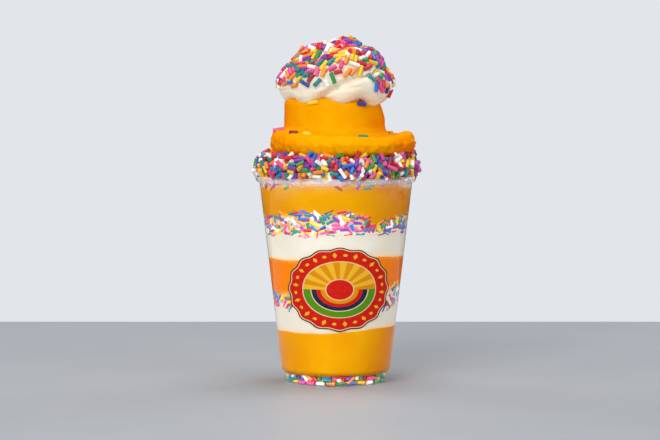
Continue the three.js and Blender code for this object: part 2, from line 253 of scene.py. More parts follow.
def serve(piece, name, material, slot, *nodes):
    """Names a finished piece, gives it its material, and sets it on the one body."""
    piece.name = piece.data.name = name
    piece.data.materials.clear()
    piece.data.materials.append(material)
    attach(piece, "root")
    if nodes:
        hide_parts(*nodes)
    return piece


cup = spun(CUP_PROFILE)
wall_face = min(cup.data.polygons, key=lambda face: abs(face.center.z - 60 * MM))
if wall_face.normal.dot(Vector((wall_face.center.x, wall_face.center.y, 0))) < 0:
    cup.data.flip_normals()
finish_with(cup, "SOLIDIFY", thickness=SHEET * MM, offset=-1, use_even_offset=True)
smooth(cup, 50)
serve(cup, "clear_cup", clear_plastic(), "clear_plastic", "cup")

# ---- the layers of ice and cream
# Mango ice and soft serve are spooned in by turns, so each layer lies on the uneven top of
# the one below and is pressed against the plastic. The ice is smooth, wet and full of
# fine crystals, and the middle layer is a deeper orange.

INTO_WALL = 0.14  # the food reaches this far into the plastic
WALL_STATIONS = [[r - SHEET, z] for r, z in CUP_PROFILE[9:18]]


def wall(height):
    """The inside radius of the cup at a height."""
    radii, heights = zip(*WALL_STATIONS)
    return np.interp(height, heights, radii)


def polar(points):
    """The angle from the front towards +X, the distance from the axis and the height."""
    return np.arctan2(points[:, 0], -points[:, 1]), np.hypot(points[:, 0], points[:, 1]), points[:, 2]


def around(angle, radius, height):
    """The place at an angle from the front, a distance from the axis and a height."""
    places = np.broadcast_arrays(radius * np.sin(angle), -radius * np.cos(angle), height)
    return np.stack(places, axis=-1)


def unit(values):
    return np.clip(values, 0, 1)


def hump(values):
    """1 at zero, dying away to nothing by two either way."""
    return np.exp(-(values ** 2))


def waves(angle, *parts):
    """Waves round the cup: [count, size, turn in degrees]."""
    return sum(size * np.sin(count * angle + radians(turn)) for count, size, turn in parts)


def apart(angle, direction):
    """How far an angle is from a direction given in degrees, in radians."""
    off = angle - radians(direction)
    return np.abs(np.arctan2(np.sin(off), np.cos(off)))


def points_of(piece):
    """The places of a piece's vertices, in millimetres."""
    points = np.empty(3 * len(piece.data.vertices))
    piece.data.vertices.foreach_get("co", points)
    return points.reshape(-1, 3) / MM


def reshape(piece, move):
    """Moves every vertex by a rule on its place in millimetres."""
    piece.data.vertices.foreach_set("co", (move(points_of(piece)) * MM).ravel())
    choose(piece)
    edit()
    bpy.ops.mesh.normals_make_consistent(inside=False)
    leave()


def shaped(profile, rule, steps=STEPS, sharpest=60):
    """A profile spun round Z, whose vertices are then moved by a rule."""
    piece = spun(profile, steps)
    reshape(piece, rule)
    smooth(piece, sharpest)
    return piece


def lumps(points, size, shift=0.0):
    """Smooth noise from -1 to 1 with lumps of a size."""
    return np.array([noise.noise(Vector(p) / size + Vector((shift, 0, 0))) for p in points])


def edge(height, *parts, sag=None):
    """Where two layers meet: a height with waves that die away towards the axis."""
    def level(angle, share=1.0):
        lift = waves(angle, *parts)
        if sag:
            direction, depth, width = sag
            lift = lift - depth * hump(apart(angle, direction) / radians(width))
        return height + lift * share ** 2
    return level


def lowered(level, drop):
    """The same edge, lower down."""
    return lambda angle, share=1.0: level(angle, share) - drop


base_top = edge(6.3, [7, 0.3, 0])
mango_bottom_top = edge(33.2, [1, 2.06, 4], [2, 0.56, 166], [3, 0.77, -45], [11, 0.12, 0])
cream_lower_top = edge(49.7, [1, 0.9, 30], [5, 0.7, 70])
sprinkles_lower_top = edge(58.8, [1, 1.77, -14], [2, 0.58, 24], [3, 1.25, 137], [9, 0.3, 0])
mango_middle_top = edge(77.1, [1, 0.58, 63], [2, 0.84, 28], [3, 0.33, -45], [10, 0.15, 50])
cream_upper_top = edge(96, [2, 0.8, 20], [5, 0.6, 140])
sprinkles_upper_top = edge(103, [1, 2.2, 75], [2, 0.8, 90], [8, 0.5, 30], sag=(38, 6.2, 17))
mango_top_top = edge(121, [2, 2.2, 90], [5, 0.6, 200])


FLAT = [[0, 0], [0.35, 0], [0.7, 0], [0.9, 0], [1, 0]]  # from the axis out to the wall


def layer(below, above, levels=10, hollow=0.0, melts=(2.2, 2.2)):
    """A filling between two edges, pressed to the wall or drawn in from it by a hollow. melts
    is how far it has melted together with what lies below and above, in millimetres."""
    side = [[1, level] for level in (0.03, 0.06, *(step / levels for step in range(1, levels)), 0.94, 0.97)]

    def fill(points):
        angle, share, level = polar(points)
        low, high = below(angle, share), above(angle, share)
        height = low + (high - low) * level
        drawn_in = hollow * np.sin(pi * unit(level)) * (share > 0.95)
        drawn_in *= 1 + waves(angle, [13, 0.2, 0], [29, 0.3, 50])
        return around(angle, share * (wall(height) + INTO_WALL) - drawn_in, height)

    piece = shaped(FLAT + side + [[share, 1] for share, _ in reversed(FLAT)], fill)
    mark_melt(piece, below, above, melts)
    return piece


def mark_melt(piece, below, above, melts):
    """Marks where ice and cream have melted together, near an edge."""
    angle, _, height = polar(points_of(piece))
    depths = (height - below(angle), above(angle) - height)
    shares = [1 - depth / reach if reach else 0 * depth for depth, reach in zip(depths, melts)]
    melt = piece.data.attributes.new("melt", "FLOAT", "POINT")
    melt.data.foreach_set("value", unit(np.maximum(*shares)))


FLESH = (1.0, 0.45, 0.05)  # how far red, green and blue light go into the ice
CREAMY = (1.0, 0.8, 0.55)  # and into the soft serve


def mango_ice(name, bright, deep, brown, turned=(0.06, 0.62), frost=0.0, torn=None):
    """Smooth wet fruit ice, let through by light, cloudy with fine crystals. Its colour is deeper
    where it is seen edge on, partly for the depth of ice seen at a slant and partly as painted
    shade, and deeper toward +X as painted shade. It may be frosted where it nears the rim, and
    between two heights where it was torn it is painted darker, as shade among the crumbs."""
    made = Finish(name, subsurface_weight=0.3, subsurface_scale=3 * MM, subsurface_radius=FLESH, ior=1.34,
                  specular_ior_level=0.03, coat_weight=0.006, coat_roughness=0.2)
    clouds = made.patches(19, 0.3, 0.72, detail=3)
    streaks = made.patches(3.4, 0.42, 0.8, detail=4, rough=0.6)
    crystals = made.grain(0.7, detail=3, rough=0.7)
    # Partly painted shade: the colour grows deeper where the ice is seen edge on, but not on faces that look
    # up. In part it stands for the depth of the ice seen at a slant.
    facing = made.node("ShaderNodeLayerWeight", sockets={"Blend": 0.5}, out="Facing")
    normal = made.node("ShaderNodeNewGeometry", out="Normal")
    up = made.node("ShaderNodeSeparateXYZ", sockets={0: normal}, out="Z")
    edge_on = made.between(facing, *turned) * (1 - 0.9 * up.clip())
    # Painted shade: the colour grows deeper toward +X, the right side.
    painted_shade_to_the_right = made.between(made.along("X"), 8 * MM, 52 * MM)
    tone = made.blend((clouds * 0.35 + edge_on * 0.85 + painted_shade_to_the_right * 0.4).clip(), bright, deep)
    tone = made.blend(streaks * 0.16, tone, brown)
    melt = made.node("ShaderNodeAttribute", {"attribute_name": "melt"}, out="Fac")
    ragged = made.patches(2.2, 0.3, 0.7, detail=3)
    tone = made.blend(melt * ragged * 0.5, tone, colour(255, 200, 110))
    if torn:
        low, high = torn
        # Painted shade: darker brown patches that grow toward the lower of the two heights, among the crumbs
        # under the brim.
        painted_crumb_shade = made.between(made.along("Z"), high * MM, low * MM)
        painted_crumb_shade = painted_crumb_shade * made.patches(3.4, 0.46, 0.62, detail=3)
        tone = made.blend(painted_crumb_shade * 0.6, tone, colour(196, 108, 14))
    if frost:
        hazy = made.between(made.along("Z"), 108 * MM, 121 * MM)
        hazy = hazy * made.patches(16, 0.4, 0.6, detail=4) * edge_on
        tone = made.blend(hazy * frost, tone, colour(232, 206, 170))
    glint = made.between(crystals, 0.62, 0.8) * 0.14
    tone = made.blend(glint, tone, colour(255, 196, 10))
    made.set({"base_color": tone, "roughness": 0.42 + 0.2 * crystals})
    made.relief(crystals + 3 * streaks, 0.09, 0.5)
    return made.material


def soft_serve(name, pale, warm, melted=(250, 196, 116), share=0.75):
    """Soft serve: creamy, satin, with a few fine air bubbles. Where it has melted together
    with the ice it takes a share of another colour."""
    made = Finish(name, subsurface_weight=0.35, subsurface_scale=4 * MM, subsurface_radius=CREAMY, ior=1.36)
    clouds = made.patches(12, 0.3, 0.7, detail=3)
    bubbles = made.grain(1.1, detail=3, rough=0.65)
    melt = made.node("ShaderNodeAttribute", {"attribute_name": "melt"}, out="Fac")
    ragged = made.patches(2.2, 0.25, 0.75, detail=3)
    mixed = (melt * (ragged + 0.5)).clip() * share
    tone = made.blend(mixed, made.blend(clouds, pale, warm), colour(*melted))
    made.set({"base_color": tone, "roughness": 0.4 + 0.2 * bubbles})
    made.relief(bubbles, 0.1, 0.35)
    return made.material


# The bottom and top ices in the cup have darker copies of the scooped ice's colours: painted shade for the
# ice inside the cup.
mango = mango_ice("mango_ice", colour(224, 165, 0), colour(202, 114, 0), colour(208, 112, 0))
top_mango = mango_ice("mango_ice_frosted", colour(213, 157, 0), colour(196, 116, 2), colour(204, 110, 0),
                      frost=0.7)
deep_mango = mango_ice("mango_ice_deep", colour(230, 138, 0), colour(216, 104, 0), colour(210, 86, 0))
SHADED_CREAM = (colour(215, 210, 199), colour(212, 203, 186))  # darker copies of the soft serve's colours, as painted shade for the cream inside the cup
shaded_cream = soft_serve("soft_serve_shaded", *SHADED_CREAM)
mixed_cream = soft_serve("soft_serve_mixed_with_ice", *SHADED_CREAM, (236, 168, 30), 1.0)

# The first ice also fills the step above the foot. Stations up to 1 are shares of the way to
# the wall, and the lowest and highest of these are moved to the layer's edges.
UNDER, OVER = -1, 100
BOTTOM_STATIONS = [
    [0, 7.9], [20, 7.9], [26, 7.6], [1, UNDER],
    *[[1, height] for height in (5.6, 6.2, 7, 7.6, 8.4, 9.4, 16, 24)],
    *[[share, OVER] for share, _ in reversed(FLAT)],
]


def fill_bottom(points):
    angle, share, level = polar(points)
    at_wall, lowest = share < 1.5, base_top(angle)
    height = np.where(level < 0, lowest, level)
    height = np.where(level > OVER - 1, mango_bottom_top(angle, share), height)
    height = np.where(at_wall & (level > -0.5) & (level < 9), np.maximum(height, lowest), height)
    return around(angle, np.where(at_wall, share * (wall(height) + INTO_WALL), share), height)


serve(shaped(BOTTOM_STATIONS, fill_bottom), "mango_ice_bottom_layer", mango, "mango_ice", "mango_ice_bottom")
serve(layer(mango_bottom_top, lowered(cream_lower_top, 3), melts=(2.2, 0)), "soft_serve_lower_layer",
      shaded_cream, "soft_serve", "soft_serve_lower")
serve(layer(sprinkles_lower_top, mango_middle_top), "mango_ice_middle_layer", deep_mango, "mango_ice_deep",
      "mango_ice_middle")
serve(layer(mango_middle_top, lowered(cream_upper_top, 3.5), melts=(2.2, 0)), "soft_serve_upper_layer",
      shaded_cream, "soft_serve", "soft_serve_upper")

# ---- the sprinkles against the cup
# Candy rods 2.5 mm thick, cut to uneven lengths and glazed. A handful goes on the
# bottom of the bare cup and one on each layer of soft serve, where the next scoop presses
# them into the cream and against the plastic.

SPRINKLE = 1.28  # a sprinkle's radius
ROD = 6  # the modelled rod's length, before each copy is cut to its own
CANDY = {  # screen colours, and how many of each in a hundred
    "red": (218, 20, 44, 13), "dark_red": (160, 18, 40, 4), "pink": (240, 76, 150, 12),
    "orange": (250, 146, 30, 10), "yellow": (254, 208, 26, 12), "green": (36, 150, 76, 7),
    "teal": (0, 136, 130, 9), "blue": (18, 116, 208, 10), "navy": (40, 66, 164, 3),
    "violet": (130, 48, 168, 8), "white": (255, 252, 246, 13),
}


def one_sprinkle():
    """One rod, lying along Z, with its ends rounded."""
    rod = fresh(bpy.ops.mesh.primitive_cylinder_add, vertices=8, radius=SPRINKLE, depth=ROD)
    bpy.ops.object.mode_set(mode="EDIT")
    bpy.ops.mesh.select_all(action="DESELECT")
    leave()
    for face in rod.data.polygons:
        face.select = abs(face.normal.z) > 0.9
    bpy.ops.object.mode_set(mode="EDIT")
    bpy.ops.mesh.inset(thickness=0.42 * SPRINKLE)
    leave()
    points = np.array([v.co for v in rod.data.vertices])
    rim = (np.abs(points[:, 2]) > 0.48 * ROD) & (np.hypot(points[:, 0], points[:, 1]) > 0.9 * SPRINKLE)
    points[rim, 2] *= 2.5 / 3
    faces = [list(face.vertices) for face in rod.data.polygons]
    bpy.data.objects.remove(rod)
    return points, faces


ROD_POINTS, ROD_FACES = one_sprinkle()


def candy():
    """Glazed candy. Each rod has its own colour, a little cloudy and paler where it is rubbed."""
    made = Finish("candy_glaze", ior=1.45, coat_weight=0.12, coat_roughness=0.25,
                  subsurface_weight=0.08, subsurface_scale=MM)
    tint = made.node("ShaderNodeAttribute", {"attribute_name": "tint"}, out="Color")
    clouds = made.patches(0.9, 0.35, 0.75, detail=3)
    specks = made.patches(0.3, 0.62, 0.75, detail=2)
    tone = made.blend(clouds * 0.08, tint, (1, 0.97, 0.93, 1))
    made.set({
        "base_color": made.blend(specks * 0.12, tone, (0.1, 0.05, 0.05, 1), mode="MULTIPLY"),
        "roughness": 0.3 + 0.25 * clouds,
    })
    made.relief(clouds, 0.03, 0.5)
    return made.material


candy_glaze = candy()


class Heap:
    """Rods that are dropped at random and then pushed apart until they lie on the ground."""

    def __init__(self, seed, scarce=()):
        self.random = np.random.default_rng(seed)
        shares = np.array([c[3] * (0.4 if name in scarce else 1) for name, c in CANDY.items()])
        self.shares = shares / shares.sum()
        self.middles, self.axes, self.tones = np.zeros((0, 3)), np.zeros((0, 3)), []
        self.halves = np.zeros(0)

    def drop(self, middles, axes, tones=None):
        """Adds rods, four to nine millimetres long."""
        count, names = len(middles), list(CANDY)
        self.middles = np.vstack([self.middles, middles])
        self.axes = np.vstack([self.axes, axes / np.linalg.norm(axes, axis=1, keepdims=True)])
        self.halves = np.append(self.halves, 0.5 * self.random.triangular(4.2, 5.9, 8.8, count))
        picks = self.random.choice(len(CANDY), count, p=self.shares)
        self.tones += list(tones) if tones else [names[p] for p in picks]

    def settle(self, ground, rounds=70, sink=0.25, pull=0.12, hold=None):
        """ground gives each point's height over it and the way up. Each rod stands for four
        beads, which rest on the ground or on the beads of others. sink is how far they press
        in, pull how fast they fall, and hold keeps the rods' middles where they may be."""
        offsets = np.array([-1, -0.33, 0.33, 1])
        for step in range(rounds):
            reach = (self.halves - SPRINKLE * 0.8)[:, None] * offsets
            beads = self.middles[:, None] + self.axes[:, None] * reach[..., None]
            if step % 8 == 0:
                gaps = np.linalg.norm(self.middles[:, None] - self.middles[None], axis=2)
                first, second = np.nonzero(np.triu(gaps < 9.4, 1))
            between = beads[first][:, :, None] - beads[second][:, None]
            distance = np.linalg.norm(between, axis=3) + 1e-6
            overlap = np.clip(2 * SPRINKLE * 0.97 - distance, 0, 0.8)
            push = between / distance[..., None] * overlap[..., None] * 0.35
            shift = np.zeros_like(beads)
            np.add.at(shift, first, push.sum(2))
            np.add.at(shift, second, -push.sum(1))
            height, up = ground(beads.reshape(-1, 3))
            height, up = height.reshape(beads.shape[:2]), up.reshape(beads.shape)
            fall = np.clip(SPRINKLE - sink - height, -pull, 1.2)
            shift += up * fall[..., None]
            shift = np.clip(shift, -0.7, 0.7)
            whole = shift.mean(1)
            self.middles += whole
            lever = (reach[..., None] * (shift - whole[:, None])).sum(1)
            self.axes += 0.8 * lever / (reach ** 2).sum(1)[:, None]
            self.axes /= np.linalg.norm(self.axes, axis=1, keepdims=True)
            if hold:
                self.middles = hold(self.middles)

    def mesh(self):
        """All the rods as one mesh, each with its tint."""
        count, rod = len(self.middles), len(ROD_POINTS)
        side = np.cross(self.axes, self.random.normal(size=(count, 3)))
        side /= np.linalg.norm(side, axis=1, keepdims=True)
        front = np.cross(self.axes, side)
        thick = self.random.uniform(0.92, 1.08, count)[:, None]
        bend = self.random.normal(0, 0.012, count)[:, None]
        x, y, z = ROD_POINTS.T
        along = np.sign(z) * (self.halves[:, None] - (ROD / 2 - np.abs(z)))
        across = x * thick + bend * (along ** 2 - self.halves[:, None] ** 2 / 3)
        points = (self.middles[:, None] + side[:, None] * across[..., None]
                  + front[:, None] * (y * thick)[..., None] + self.axes[:, None] * along[..., None])
        faces = [[corner + rod * i for corner in face] for i in range(count) for face in ROD_FACES]
        data = bpy.data.meshes.new("sprinkles")
        data.from_pydata((points.reshape(-1, 3) * MM).tolist(), [], faces)
        tints = np.array([colour(*CANDY[tone][:3]) for tone in self.tones])
        tints[:, :3] *= self.random.uniform(0.88, 1.08, (count, 1))
        layer_of_tint = data.attributes.new("tint", "FLOAT_COLOR", "POINT")
        layer_of_tint.data.foreach_set("color", np.repeat(unit(tints), rod, axis=0).ravel())
        piece = placed("sprinkles", data)
        smooth(piece, 50)
        return piece


def against_wall(points):
    """The wall as ground: the height is the distance in from it."""
    angle, radius, height = polar(points)
    return wall(height) - radius, around(angle, -1, 0)


BAND_DEPTH = 4.2  # how far a band of sprinkles reaches in from the wall
WALL_SLOPE = 0.117  # how far the wall leans out, as a share of the height


def band(count, low, high, seed, thin, spread, steep=0.7):
    """Sprinkles between two edges, pressed to the wall. thin is a direction in degrees, the
    share that is gone there, and the width in degrees. spread lets them crowd the top."""
    heap = Heap(seed, scarce=("white", "orange"))
    direction, share_gone, width = thin
    angle = heap.random.uniform(-pi, pi, 3 * count)
    kept = 1 - share_gone * hump(apart(angle, direction) / radians(width))
    angle = angle[heap.random.random(3 * count) < kept][:count]
    count = len(angle)
    share = heap.random.beta(spread, 1.1, count)
    bottom, top = low(angle) + 1.3, high(angle) - 1.1
    height = bottom + (top - bottom) * share
    tilt = heap.random.normal(0, steep, count)
    depth = heap.random.exponential(0.45, count)
    middles = around(angle, wall(height) - SPRINKLE - depth, height)
    along = around(angle + pi / 2, np.cos(tilt), np.sin(tilt))
    heap.drop(middles, along)

    def hold(points):
        angle, radius, height = polar(points)
        height = np.clip(height, low(angle) + 1.0, high(angle) - 0.8)
        return around(angle, np.maximum(radius, wall(height) - BAND_DEPTH), height)

    heap.settle(against_wall, sink=0.12, pull=0.06, hold=hold)
    return heap


def lay_on_wall(heap, angle, height, tilt, proud, tones=None):
    """Adds rods that lie flat along the sloping wall and press a little way into it."""
    rise = np.sin(tilt)
    along = around(angle + pi / 2, np.cos(tilt), 0) + around(angle, WALL_SLOPE * rise, rise)
    heap.drop(around(angle, wall(height) - SPRINKLE + proud, height), along, tones)


def lay_by_hand(heap, table, proud):
    """Lays rods from rows of degrees from the front, height, tilt in degrees and tint."""
    turns, heights, tilts, tones = zip(*(row.split() for row in table.split(",")))
    turns, tilts = (np.radians(np.array(column, float)) for column in (turns, tilts))
    lay_on_wall(heap, turns, np.array(heights, float), tilts, proud, tones)


def sink_in(heap, count, level, reach, proud, steep=0.5):
    """Adds rods drowned in what lies at an edge, so that only a sliver of each shows."""
    angle, tilt = heap.random.uniform(-pi, pi, count), heap.random.normal(0, steep, count)
    lay_on_wall(heap, angle, level(angle) + reach(heap.random, count), tilt, proud)


def dripping(mean, deepest):
    """Rods below an edge, fewer the deeper they lie."""
    return lambda random, count: 0.8 - np.minimum(random.exponential(mean, count), deepest)


def strewn(low, high):
    """Rods between two heights over an edge."""
    return lambda random, count: random.uniform(low, high, count)


# The lower row lies end to end along the foot, and others lie over it as they fell.
RING = ("red white violet orange teal pink yellow blue green teal yellow pink pink white orange green blue "
        "yellow white green teal red orange yellow violet white pink blue green").split()
RING_RADIUS = 29
FELL = 58  # how many lie over the lower row
base = Heap(3)
ring_angles = np.linspace(-pi, pi, len(RING), endpoint=False)
ring_places = around(ring_angles, RING_RADIUS, 1.75 + 0.15 * np.sin(5 * ring_angles))
base.drop(ring_places, around(ring_angles + pi / 2, 1, 0.06 * np.sin(9 * ring_angles)), RING)
base.halves[:] = 0.96 * pi * RING_RADIUS / len(RING) * base.random.uniform(0.86, 1.04, len(RING))
ring_axes = base.axes.copy()
fell_angles, fell_tilts = base.random.uniform(-pi, pi, FELL), base.random.normal(0, 0.55, FELL)
base.drop(around(fell_angles, RING_RADIUS, base.random.uniform(3.4, 5.4, FELL)),
          around(fell_angles + pi / 2, np.cos(fell_tilts), np.sin(fell_tilts)))


def foot_ground(points):
    """The foot's inner wall."""
    angle, radius, _ = polar(points)
    return np.minimum(30.5 - radius, 9.0), around(angle, -1, 0)


def foot_hold(points):
    """The lower row stays where it lies, and the others stay over it."""
    angle, radius, height = polar(points)
    held = around(angle, np.clip(radius, 27.6, 29.45), np.clip(height, 3.6, 5.6))
    held[:len(RING)] = ring_places
    return held


base.settle(foot_ground, rounds=50, sink=0.15, pull=0.1, hold=foot_hold)
base.axes[:len(RING)] = ring_axes
steepest = np.clip((base.middles[:, 2] - SPRINKLE - 0.3) / (base.halves - 0.8), 0.05, 0.75)
base.axes[:, 2] = np.clip(base.axes[:, 2], -steepest, steepest)
serve(base.mesh(), "sprinkles_in_the_foot", candy_glaze, "sprinkles")

bed = spun([[0, 5.2], [24.8, 5.2], [26, 4.6], [27.4, 1.2], [28.4, 1.2], [28.8, 2], [28.9, 6.2], [26, 7.5],
            [0, 7.8]])
smooth(bed, 60)
serve(bed, "sprinkle_bed_in_the_foot", mango, "sprinkles", "sprinkles_base")

DROWNED, SUNK = 0.26, 0.34  # how far rods press into the wall where little or more of them shows
lower = band(260, lowered(cream_lower_top, 1), sprinkles_lower_top, 5, thin=(66, 0.75, 26), spread=1.3)
sink_in(lower, 50, lowered(cream_lower_top, 1), dripping(2.6, 5), DROWNED)
sink_in(lower, 26, sprinkles_lower_top, strewn(-0.8, 1.2), SUNK)
lay_by_hand(lower, "-49 53.4 10 green, -41 53 25 yellow, -47 47.8 60 teal, -40 47.2 -45 pink,"
            "68 59.6 20 navy, 62 58.6 -30 violet, 66 49.4 80 teal, 51 47.4 60 navy", SUNK)
serve(lower.mesh(), "sprinkles_in_the_lower_cream", candy_glaze, "sprinkles")
serve(layer(lowered(cream_lower_top, 3), sprinkles_lower_top, hollow=0.7, melts=(0, 4)),
      "lower_cream_round_the_sprinkles", mixed_cream, "sprinkles", "sprinkles_lower")
upper = band(380, lowered(cream_upper_top, 0.8), sprinkles_upper_top, 6, thin=(52, 0.4, 24), spread=1.7)
sink_in(upper, 110, lowered(cream_upper_top, 0.8), dripping(2.2, 4), DROWNED, steep=0.28)
sink_in(upper, 64, sprinkles_upper_top, strewn(-1, 1.6), SUNK)
lay_by_hand(upper, "-54 92.8 15 yellow, -36 93.4 30 teal, -24 92.4 -40 pink, -15 93.6 80 red,"
            "-3 94.4 10 pink, 10 93 5 red, 46 94.6 -20 violet", 0.27)
lay_by_hand(upper, "-56 102.5 20 green, -47 100.8 -20 violet, -31 104.8 6 blue, -22 104.7 -4 teal,"
            "-27 102.3 4 blue, -7 104.4 30 teal, 0 102.6 -35 violet, 13 104.2 -40 green, 25 102.8 15 red,"
            "38 99.8 30 orange, 44 99.2 -25 orange", 0.38)
serve(upper.mesh(), "sprinkles_in_the_upper_cream", candy_glaze, "sprinkles")
serve(layer(lowered(cream_upper_top, 3.5), sprinkles_upper_top, hollow=0.7, melts=(0, 6)),
      "upper_cream_round_the_sprinkles", mixed_cream, "sprinkles", "sprinkles_upper")

# ---- the top ice
# The last scoop of ice in the cup stands above the rim as a mound, which is hidden by what
# lies on it. Frost has melted to a pale haze where it meets the plastic near the rim.


IN_CUP = 2  # stations lower than this are shares of the way up the layer

MOUND = [*FLAT, *[[1, level / 10] for level in range(1, 10)], [1, 1],
         [44, 126], [41, 129.2], [38.6, 132.6], [36, 134.2], [20, 135.4], [0, 135.6]]


def fill_mound(points):
    angle, share, level = polar(points)
    low, high = sprinkles_upper_top(angle, share), mango_top_top(angle, share)
    height = np.where(level < IN_CUP, low + (high - low) * level, level)
    return around(angle, np.where(level < IN_CUP, share * (wall(height) + INTO_WALL), share), height)


serve(shaped(MOUND, fill_mound), "mango_ice_top_layer", top_mango, "mango_ice", "mango_ice_top")

# ---- the scoop on top
# A scoop of the same mango ice, turned out of its spade: a round tower with nearly upright
# sides on a thick brim, whose edge is torn and crumbly where the spade let go.

LOW, BRIM, TOP = 139.2, 43.9, 153.2  # the brim's underside, radius and upper face
TOWER, TOWER_TOP = 31.2, 175.8  # the tower's radius and upper face
CROWN = [
    [0, LOW], [30, LOW],
    *[[BRIM + out, LOW + up] for out, up in (
        (-7, 0), (-4, 0.3), (-2.2, 1.1), (-1, 2.6), (-0.3, 4.6), (0, 7), (-0.1, 9), (-0.7, 11),
        (-1.8, 12.8))],
    *[[BRIM + out, TOP + up] for out, up in ((-3.2, -0.3), (-5, 0), (-7, -0.2))],
    *[[TOWER + out, TOP + up] for out, up in (
        (3.4, -0.2), (2.2, 0.2), (1.2, 1), (0.5, 2.2), (0, 4), (-0.3, 7), (-0.9, 11), (-1.4, 14.5),
        (-2, 17.4), (-3, 19.4))],
    [TOWER - 4.6, TOWER_TOP - 1], [TOWER - 8, TOWER_TOP - 0.2], [16, TOWER_TOP], [0, TOWER_TOP],
]


def finer(stations, step, from_radius):
    """A profile with a station at every step, from a radius outwards."""
    fine = [stations[0]]
    for (r, z), (next_r, next_z) in zip(stations, stations[1:]):
        pieces = max(1, round(hypot(next_r - r, next_z - z) / step)) if r > from_radius else 1
        fine += [[r + (next_r - r) * i / pieces, z + (next_z - z) * i / pieces] for i in range(1, pieces + 1)]
    return fine


def turn_out(points):
    angle, radius, height = polar(points)
    # The tower stands a little left of the brim's middle, and the ledge between evens it out.
    inwards = unit((BRIM - radius) / (BRIM - TOWER - 1)) * unit((height - TOP + 2.5) / 2)
    offset = 3.6 - 4.6 * inwards ** 2 * (3 - 2 * inwards)
    on_tower = unit((height - TOP + 0.6) / 3.6) * (radius < TOWER + 4)
    in_brim = unit((radius - BRIM + 8) / 8) * (1 - on_tower)
    uneven = in_brim * waves(angle, [2, 0.7, 60], [5, 0.5, 20], [9, 0.4, 80])
    # The brim leans down to the right, where its end is curled up, and runs into the tower.
    curl = 3.0 * hump(apart(angle, 84) / 0.34) * unit((radius - BRIM + 8) / 4)
    front = unit(1.5 * np.cos(angle) - 0.2)
    lean = -0.5 - 1.9 * np.sin(angle) + front * (2.4 * unit((TOWER + 9 - radius) / 9) ** 2 - 0.8)
    rise = lean + curl + in_brim * waves(angle, [4, 0.35, 0], [9, 0.25, 40])
    lift = unit((height - LOW - 5) / 6) * (1 - on_tower) * rise
    rise_up = unit((height - TOP - 6) / 16) ** 1.3 + 0.4 * unit((TOP + 9 - height) / 8)
    rounding = on_tower * rise_up * np.maximum(0, np.sin(angle))
    upright = on_tower * (-1.2 + 2.4 * unit((height - TOP - 2) / 16)) * np.maximum(0, -np.sin(angle))
    near_axis = unit(radius / 20)
    out = radius + uneven - (2.4 * rounding - upright) * near_axis
    moved = around(angle, out, height + lift)
    moved[:, 0] += offset * near_axis
    # Torn crumbs along the brim's edge and under it, and slow swells over the tower.
    torn = in_brim * np.clip(1.25 - np.abs(height - LOW - 4.5) / 8, 0.2, 1)
    crumbs = lumps(moved, 2.6) + 0.7 * lumps(moved, 1.3, 5) + 0.8 * lumps(moved, 6, 2)
    crumbs *= 0.8 + 0.9 * np.abs(np.sin(angle)) ** 3
    bulge = 0.8 * torn * crumbs + 0.4 * lumps(moved, 11, 9) * near_axis
    return moved + around(angle, 1, 0) * bulge[:, None]


# torn gives the heights of the painted shade under the brim, and turned the range of the deeper colour seen
# edge on, which is partly painted shade.
loose_mango = mango_ice("mango_ice_scooped", colour(255, 180, 0), colour(242, 124, 0), colour(236, 118, 0),
                        turned=(0.15, 0.85), torn=(140, 147))
scoop = shaped(finer(CROWN, 1.3, 14), turn_out, 200, 180)
serve(scoop, "mango_ice_scoop", loose_mango, "mango_ice", "mango_ice_crown")

# ---- the sprinkles heaped on the rim
# The edge of the mound is rolled in sprinkles, which heap up between the rim and the scoop,
# two or three deep, and hang over the rim. A few have slipped down inside the plastic.

HEAP_FOOT, HEAP_TOP = 127.8, 139.3
CORE_DEPTH = 3.4  # how far the core lies in from the heap's face


def heap_face(angle, share):
    """The heap's outer face, from over the rim up to the brim of the scoop."""
    height = HEAP_FOOT + (HEAP_TOP - HEAP_FOOT) * share + share * waves(angle, [1, 0.9, 180], [5, 0.4, 30])
    out = 4.6 * (1 - share ** 2.5) + 1.4 * np.sin(pi * (0.1 + 0.8 * share))
    return around(angle, 44 + out + waves(angle, [4, 0.4, 0], [9, 0.3, 50]), height)


# Stations with a height below 0 are moved to the wall, and from 0 to 1 to the heap's face.
CORE = [[0, 136.4], [36, 135.2], [40, 131.6], [0.5, -3], [0.5, -2], [0.5, -1],
        *[[2, share / 8] for share in range(9)], [0, 138]]


def fill_core(points):
    angle, _, height = polar(points)
    over_ice = np.choose(np.clip(height + 3, 0, 2).astype(int), [0.0, 2.0, 4.5])
    inside = np.minimum(mango_top_top(angle) + over_ice, 127)
    face = heap_face(angle, unit(height))
    core = around(angle, np.hypot(face[:, 0], face[:, 1]) - CORE_DEPTH, face[:, 2])
    moved = np.where((height < -0.5)[:, None], around(angle, wall(inside) - 1.3, inside), core)
    return np.where((height > 1.5)[:, None], points, moved)


def deep_candy():
    """What shows between the rods of a heap: more of them, in each other's shade."""
    made = Finish("candy_in_the_shade", roughness=0.6)
    cells = made.node("ShaderNodeTexVoronoi", sockets={"Vector": made.place(), "Scale": 420}, out="Color")
    tone = made.blend(0.5, cells, (0.6, 0.12, 0.04, 1))
    made.set({"base_color": made.blend(0.8, tone, (0.6, 0.45, 0.38, 1), mode="MULTIPLY")})
    made.relief(made.grain(1.6, detail=2), 0.6, 0.6)
    return made.material


core = serve(shaped(CORE, fill_core), "sprinkle_bed_on_the_rim", deep_candy(), "sprinkles", "sprinkles_rim")


